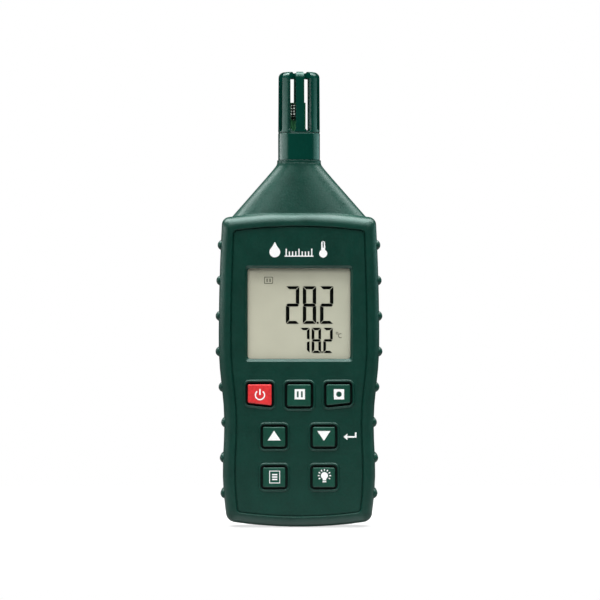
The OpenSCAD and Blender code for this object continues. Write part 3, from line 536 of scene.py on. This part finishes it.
def display_signs():
    """Faint signs on the display: a boxed pair of bars, and the unit's ring and C."""
    x, z = spot("lcd_glass", -13.35, -6.9)
    frame_line = [soft_box(x, z, 3.9, 3.1, 0.4), soft_box(x, z, 3.3, 2.5, 0.3)]
    bars = [box(x + side, z, 0.5, 1.5) for side in (-0.65, 0.65)]
    x, z = spot("lcd_glass", 16.7, -30.1)
    ring = [circle(x, z, 0.6, 20), circle(x, z, 0.3, 20)]
    letter_c = arc_band(x + 1.5, z - 1.1, 0.9, 0.35, 60, 240, 16)
    signs = [frame_line, *bars, ring, letter_c]
    printed("display_signs", signs, GLASS_Y, FAINT_INK, "case", SIGN_LIFT)


# The marks on the keys and the panel

def top_key_marks():
    """The top row: power, hold as a pair of bars, and record as a dot."""
    field = 4.5
    x, z = spot("power_key", 0.1, -6.25)
    ring = arc_band(x, z - 0.2, 2.0, 0.56, -233, 286)
    white_mark("power_mark", [ring, box(x, z + 1.15, 0.6, 2.6)], "power_key")
    x, z = spot("hold_key", 0.35, -6.1)
    bars = [box(x + side, z, 0.75, 2.6) for side in (-0.9, 0.9)]
    white_mark("hold_mark", [[box(x, z, field, field), *bars]], "hold_key")
    x, z = spot("record_key", 0.3, -6.1)
    white_mark("record_mark", [[box(x, z, field, field), circle(x, z, 1.2, 28)]], "record_key")


def low_key_marks():
    """The lower rows: up, down, memory as a stack of lines in a frame, and the light."""
    white_mark("up_mark", [triangle(*spot("up_key", up=-5.6), 1)], "up_key")
    white_mark("down_mark", [triangle(*spot("down_key", up=-5.65), -1)], "down_key")
    x, z = spot("memory_key", 0.25, -5.95)
    lines = [box(x, z + step * 1.05, 2.3, 0.6) for step in (-1, 0, 1)]
    white_mark("memory_mark", [[box(x, z, 4.7, 5.5), box(x, z, 4.1, 4.9)], *lines], "memory_key")
    x, z = spot("light_key", 0.25, -5.85)
    glow_z = z + 0.5
    bulb = circle(x, glow_z, 1.55, 30, -60, 300) + [(x - 0.75, z - 1.6), (x + 0.75, z - 1.6)]
    rays = [arc_band(x, glow_z, 2.5, 0.8, angle - 5, 10, 2) for angle in range(-30, 211, 30)]
    white_mark("light_mark", [bulb, box(x, z - 2.15, 1.7, 0.5), *rays], "light_key")


def scale_line(foot):
    """A graduated line: a comb of nine ticks, of which each fourth is long."""
    half_line, half_tick, pitch = 6.3, 0.25, 1.4
    top = foot + 0.5
    comb = [(-half_line, foot), (half_line, foot), (half_line, top)]
    for i in range(4, -5, -1):
        tip = top + (3.0 if i % 4 == 0 else 1.8)
        right, left = pitch * i + half_tick, pitch * i - half_tick
        comb += [(right, top), (right, tip), (left, tip), (left, top)]
    return comb + [(-half_line, top)]


def panel_marks():
    """A drop, a graduated line and a thermometer above the display, and a return arrow by the down key."""
    side, foot = 10.6, spot("lcd_glass", up=3.45)[1]
    x, z = -side, foot + 2.05
    drop = circle(x, z, 2.35, 30, -218, 256) + [(x + 0.75, z + 2.95), (x, z + 4.5), (x - 0.75, z + 2.95)]
    white_mark("humidity_mark", [drop], "case")
    white_mark("scale_mark", [scale_line(foot)], "case")
    x, z = side, foot + 1.35
    tube = circle(x, z, 1.75, 30, -240, 300) + circle(x, z + 4.6, 0.85, 12, 0, 180)
    white_mark("temperature_mark", [[tube, box(x, z + 3.9, 0.5, 2.6)]], "case")
    x, z = spot("down_key", 11.5, -5.65)
    arrow = [(-2.9, -0.5), (-1.2, 0.9), (-1.2, -0.15), (2.1, -0.15), (2.1, 1.5), (2.8, 1.5), (2.8, -0.85),
             (-1.2, -0.85), (-1.2, -1.9)]
    white_mark("enter_mark", [[(x + right, z + up) for right, up in arrow]], "case")


display_reading()
display_signs()
top_key_marks()
low_key_marks()
panel_marks()


# The foam pad on the battery door

def foam_pad():
    """A soft block whose inner face sinks towards its rim."""
    edge_round, sink, shrink = 0.5 * MM, 0.35 * MM, 0.995
    low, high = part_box("door_pad")
    size, middle = high - low, (low + high) / 2
    bm = bmesh.new()
    bmesh.ops.create_cube(bm, size=1.0)
    bmesh.ops.scale(bm, vec=size * shrink, verts=bm.verts)
    bmesh.ops.bevel(bm, geom=bm.edges[:], offset=edge_round, segments=3, affect="EDGES", profile=0.6)
    bmesh.ops.subdivide_edges(bm, edges=bm.edges[:], cuts=3, use_grid_fill=True)
    for v in bm.verts:
        swell = math.cos(math.pi * v.co.x / size.x) * math.cos(math.pi * v.co.z / size.z)
        if v.co.y < 0:
            v.co.y += sink * (1 - swell)
    bmesh.ops.translate(bm, vec=middle, verts=bm.verts)
    piece = add_piece("door_foam", bm, foam_face())
    for face in piece.data.polygons:
        face.use_smooth = True
    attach(piece, "door")
    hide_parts("door_pad")


foam_pad()


# The studio, in metres: a pale floor that fades out, white air for the camera, and soft boxes

FLOOR_RADIUS = 0.9
FLOOR_Z = -0.0002
MIDDLE = (0, 0, 0.1)
FOOT = (0, 0, 0.02)
CAP = (0, 0, 0.185)
TEAL = (0.6, 1.0, 0.97)


def floor_face():
    """Pale paper that fades out away from the object."""
    f = Finish("floor_paper", Base_Color=(0.8, 0.8, 0.8, 1), Roughness=0.8, Specular_IOR_Level=0.1)
    distance = f.node("ShaderNodeVectorMath", {0: f.place}, operation="LENGTH").outputs["Value"]
    f.set(Alpha=f.spread(distance, 0.28, 0.0, 0.05, 0.5))
    f.bump(f.noise(1.5, 3.0), 0.02)
    return f.material


def studio_floor():
    """A round sheet just under the object."""
    bm = bmesh.new()
    bmesh.ops.create_circle(bm, cap_ends=True, segments=96, radius=FLOOR_RADIUS)
    floor = add_piece("floor", bm, floor_face())
    floor.location = (0, 0, FLOOR_Z)


def soft_box_light(name, place, target, width, height, power, color=(1, 1, 1)):
    """A rectangular lamp that faces its target."""
    data = bpy.data.lights.new(name, "AREA")
    data.shape = "RECTANGLE"
    data.size, data.size_y = width, height
    data.energy = power
    data.color = color
    lamp = bpy.data.objects.new(name, data)
    lamp.location = place
    lamp.rotation_euler = (Vector(target) - Vector(place)).to_track_quat("-Z", "Y").to_euler()
    bpy.context.scene.collection.objects.link(lamp)


def background(tree, color, strength):
    """A background node, by its output."""
    made = tree.nodes.new("ShaderNodeBackground")
    made.inputs["Color"].default_value = color
    made.inputs["Strength"].default_value = strength
    return made.outputs[0]


def white_air(seen, given):
    """The world: bright where the camera looks, dimmer as a light."""
    world = bpy.data.worlds.new("studio_air")
    world.use_nodes = True
    tree = world.node_tree
    tree.nodes.clear()
    path = tree.nodes.new("ShaderNodeLightPath")
    mix = tree.nodes.new("ShaderNodeMixShader")
    out = tree.nodes.new("ShaderNodeOutputWorld")
    tree.links.new(path.outputs["Is Camera Ray"], mix.inputs[0])
    tree.links.new(background(tree, (0.96, 1.0, 0.99, 1), given), mix.inputs[1])
    tree.links.new(background(tree, (1, 1, 1, 1), seen), mix.inputs[2])
    tree.links.new(mix.outputs[0], out.inputs["Surface"])
    bpy.context.scene.world = world


studio_floor()
white_air(seen=1.0, given=0.03)
soft_box_light("top_box", (0, 0, 1.0), MIDDLE, 1.3, 0.8, power=30)
soft_box_light("high_left_box", (-0.62, 0.28, 0.84), MIDDLE, 0.5, 0.5, power=5)
soft_box_light("high_right_box", (0.62, 0.28, 0.84), MIDDLE, 0.5, 0.5, power=4)
soft_box_light("left_box", (-0.78, 0.14, 0.185), CAP, 1.0, 0.07, power=1.05)
soft_box_light("right_box", (0.73, 0.34, 0.185), CAP, 0.8, 0.07, power=0.42, color=TEAL)
soft_box_light("front_left_box", (-0.5, -0.87, 1.2), MIDDLE, 1.0, 0.8, power=10.5)
soft_box_light("front_right_box", (0.5, -0.87, 1.2), MIDDLE, 1.0, 0.8, power=9.9)
soft_box_light("foot_box", (0, -0.1, -0.6), FOOT, 0.7, 1.0, power=2.6)

view_settings = bpy.context.scene.view_settings
view_settings.view_transform = "Standard"
view_settings.look = "None"


# The camera: straight in front, with a long lens, framed as the photograph is

PHOTO_PIXELS = 600
MM_PER_PIXEL = 0.4396
FRAMED_X, FRAMED_Y, FRAMED_Z = 0.44, -8, 99.57


def front_camera():
    """A long lens whose picture has the photograph's scale and middle at the framed point."""
    data = bpy.data.cameras.new("camera")
    data.lens = 300
    data.sensor_width = 36
    data.clip_start, data.clip_end = 0.1, 20
    camera = bpy.data.objects.new("camera", data)
    frame_width = PHOTO_PIXELS * MM_PER_PIXEL * MM
    distance = frame_width * data.lens / data.sensor_width
    camera.location = (FRAMED_X * MM, FRAMED_Y * MM - distance, FRAMED_Z * MM)
    camera.rotation_euler = (math.radians(90), 0, 0)
    bpy.context.scene.collection.objects.link(camera)
    bpy.context.scene.camera = camera


front_camera()

bpy.context.view_layer.update()
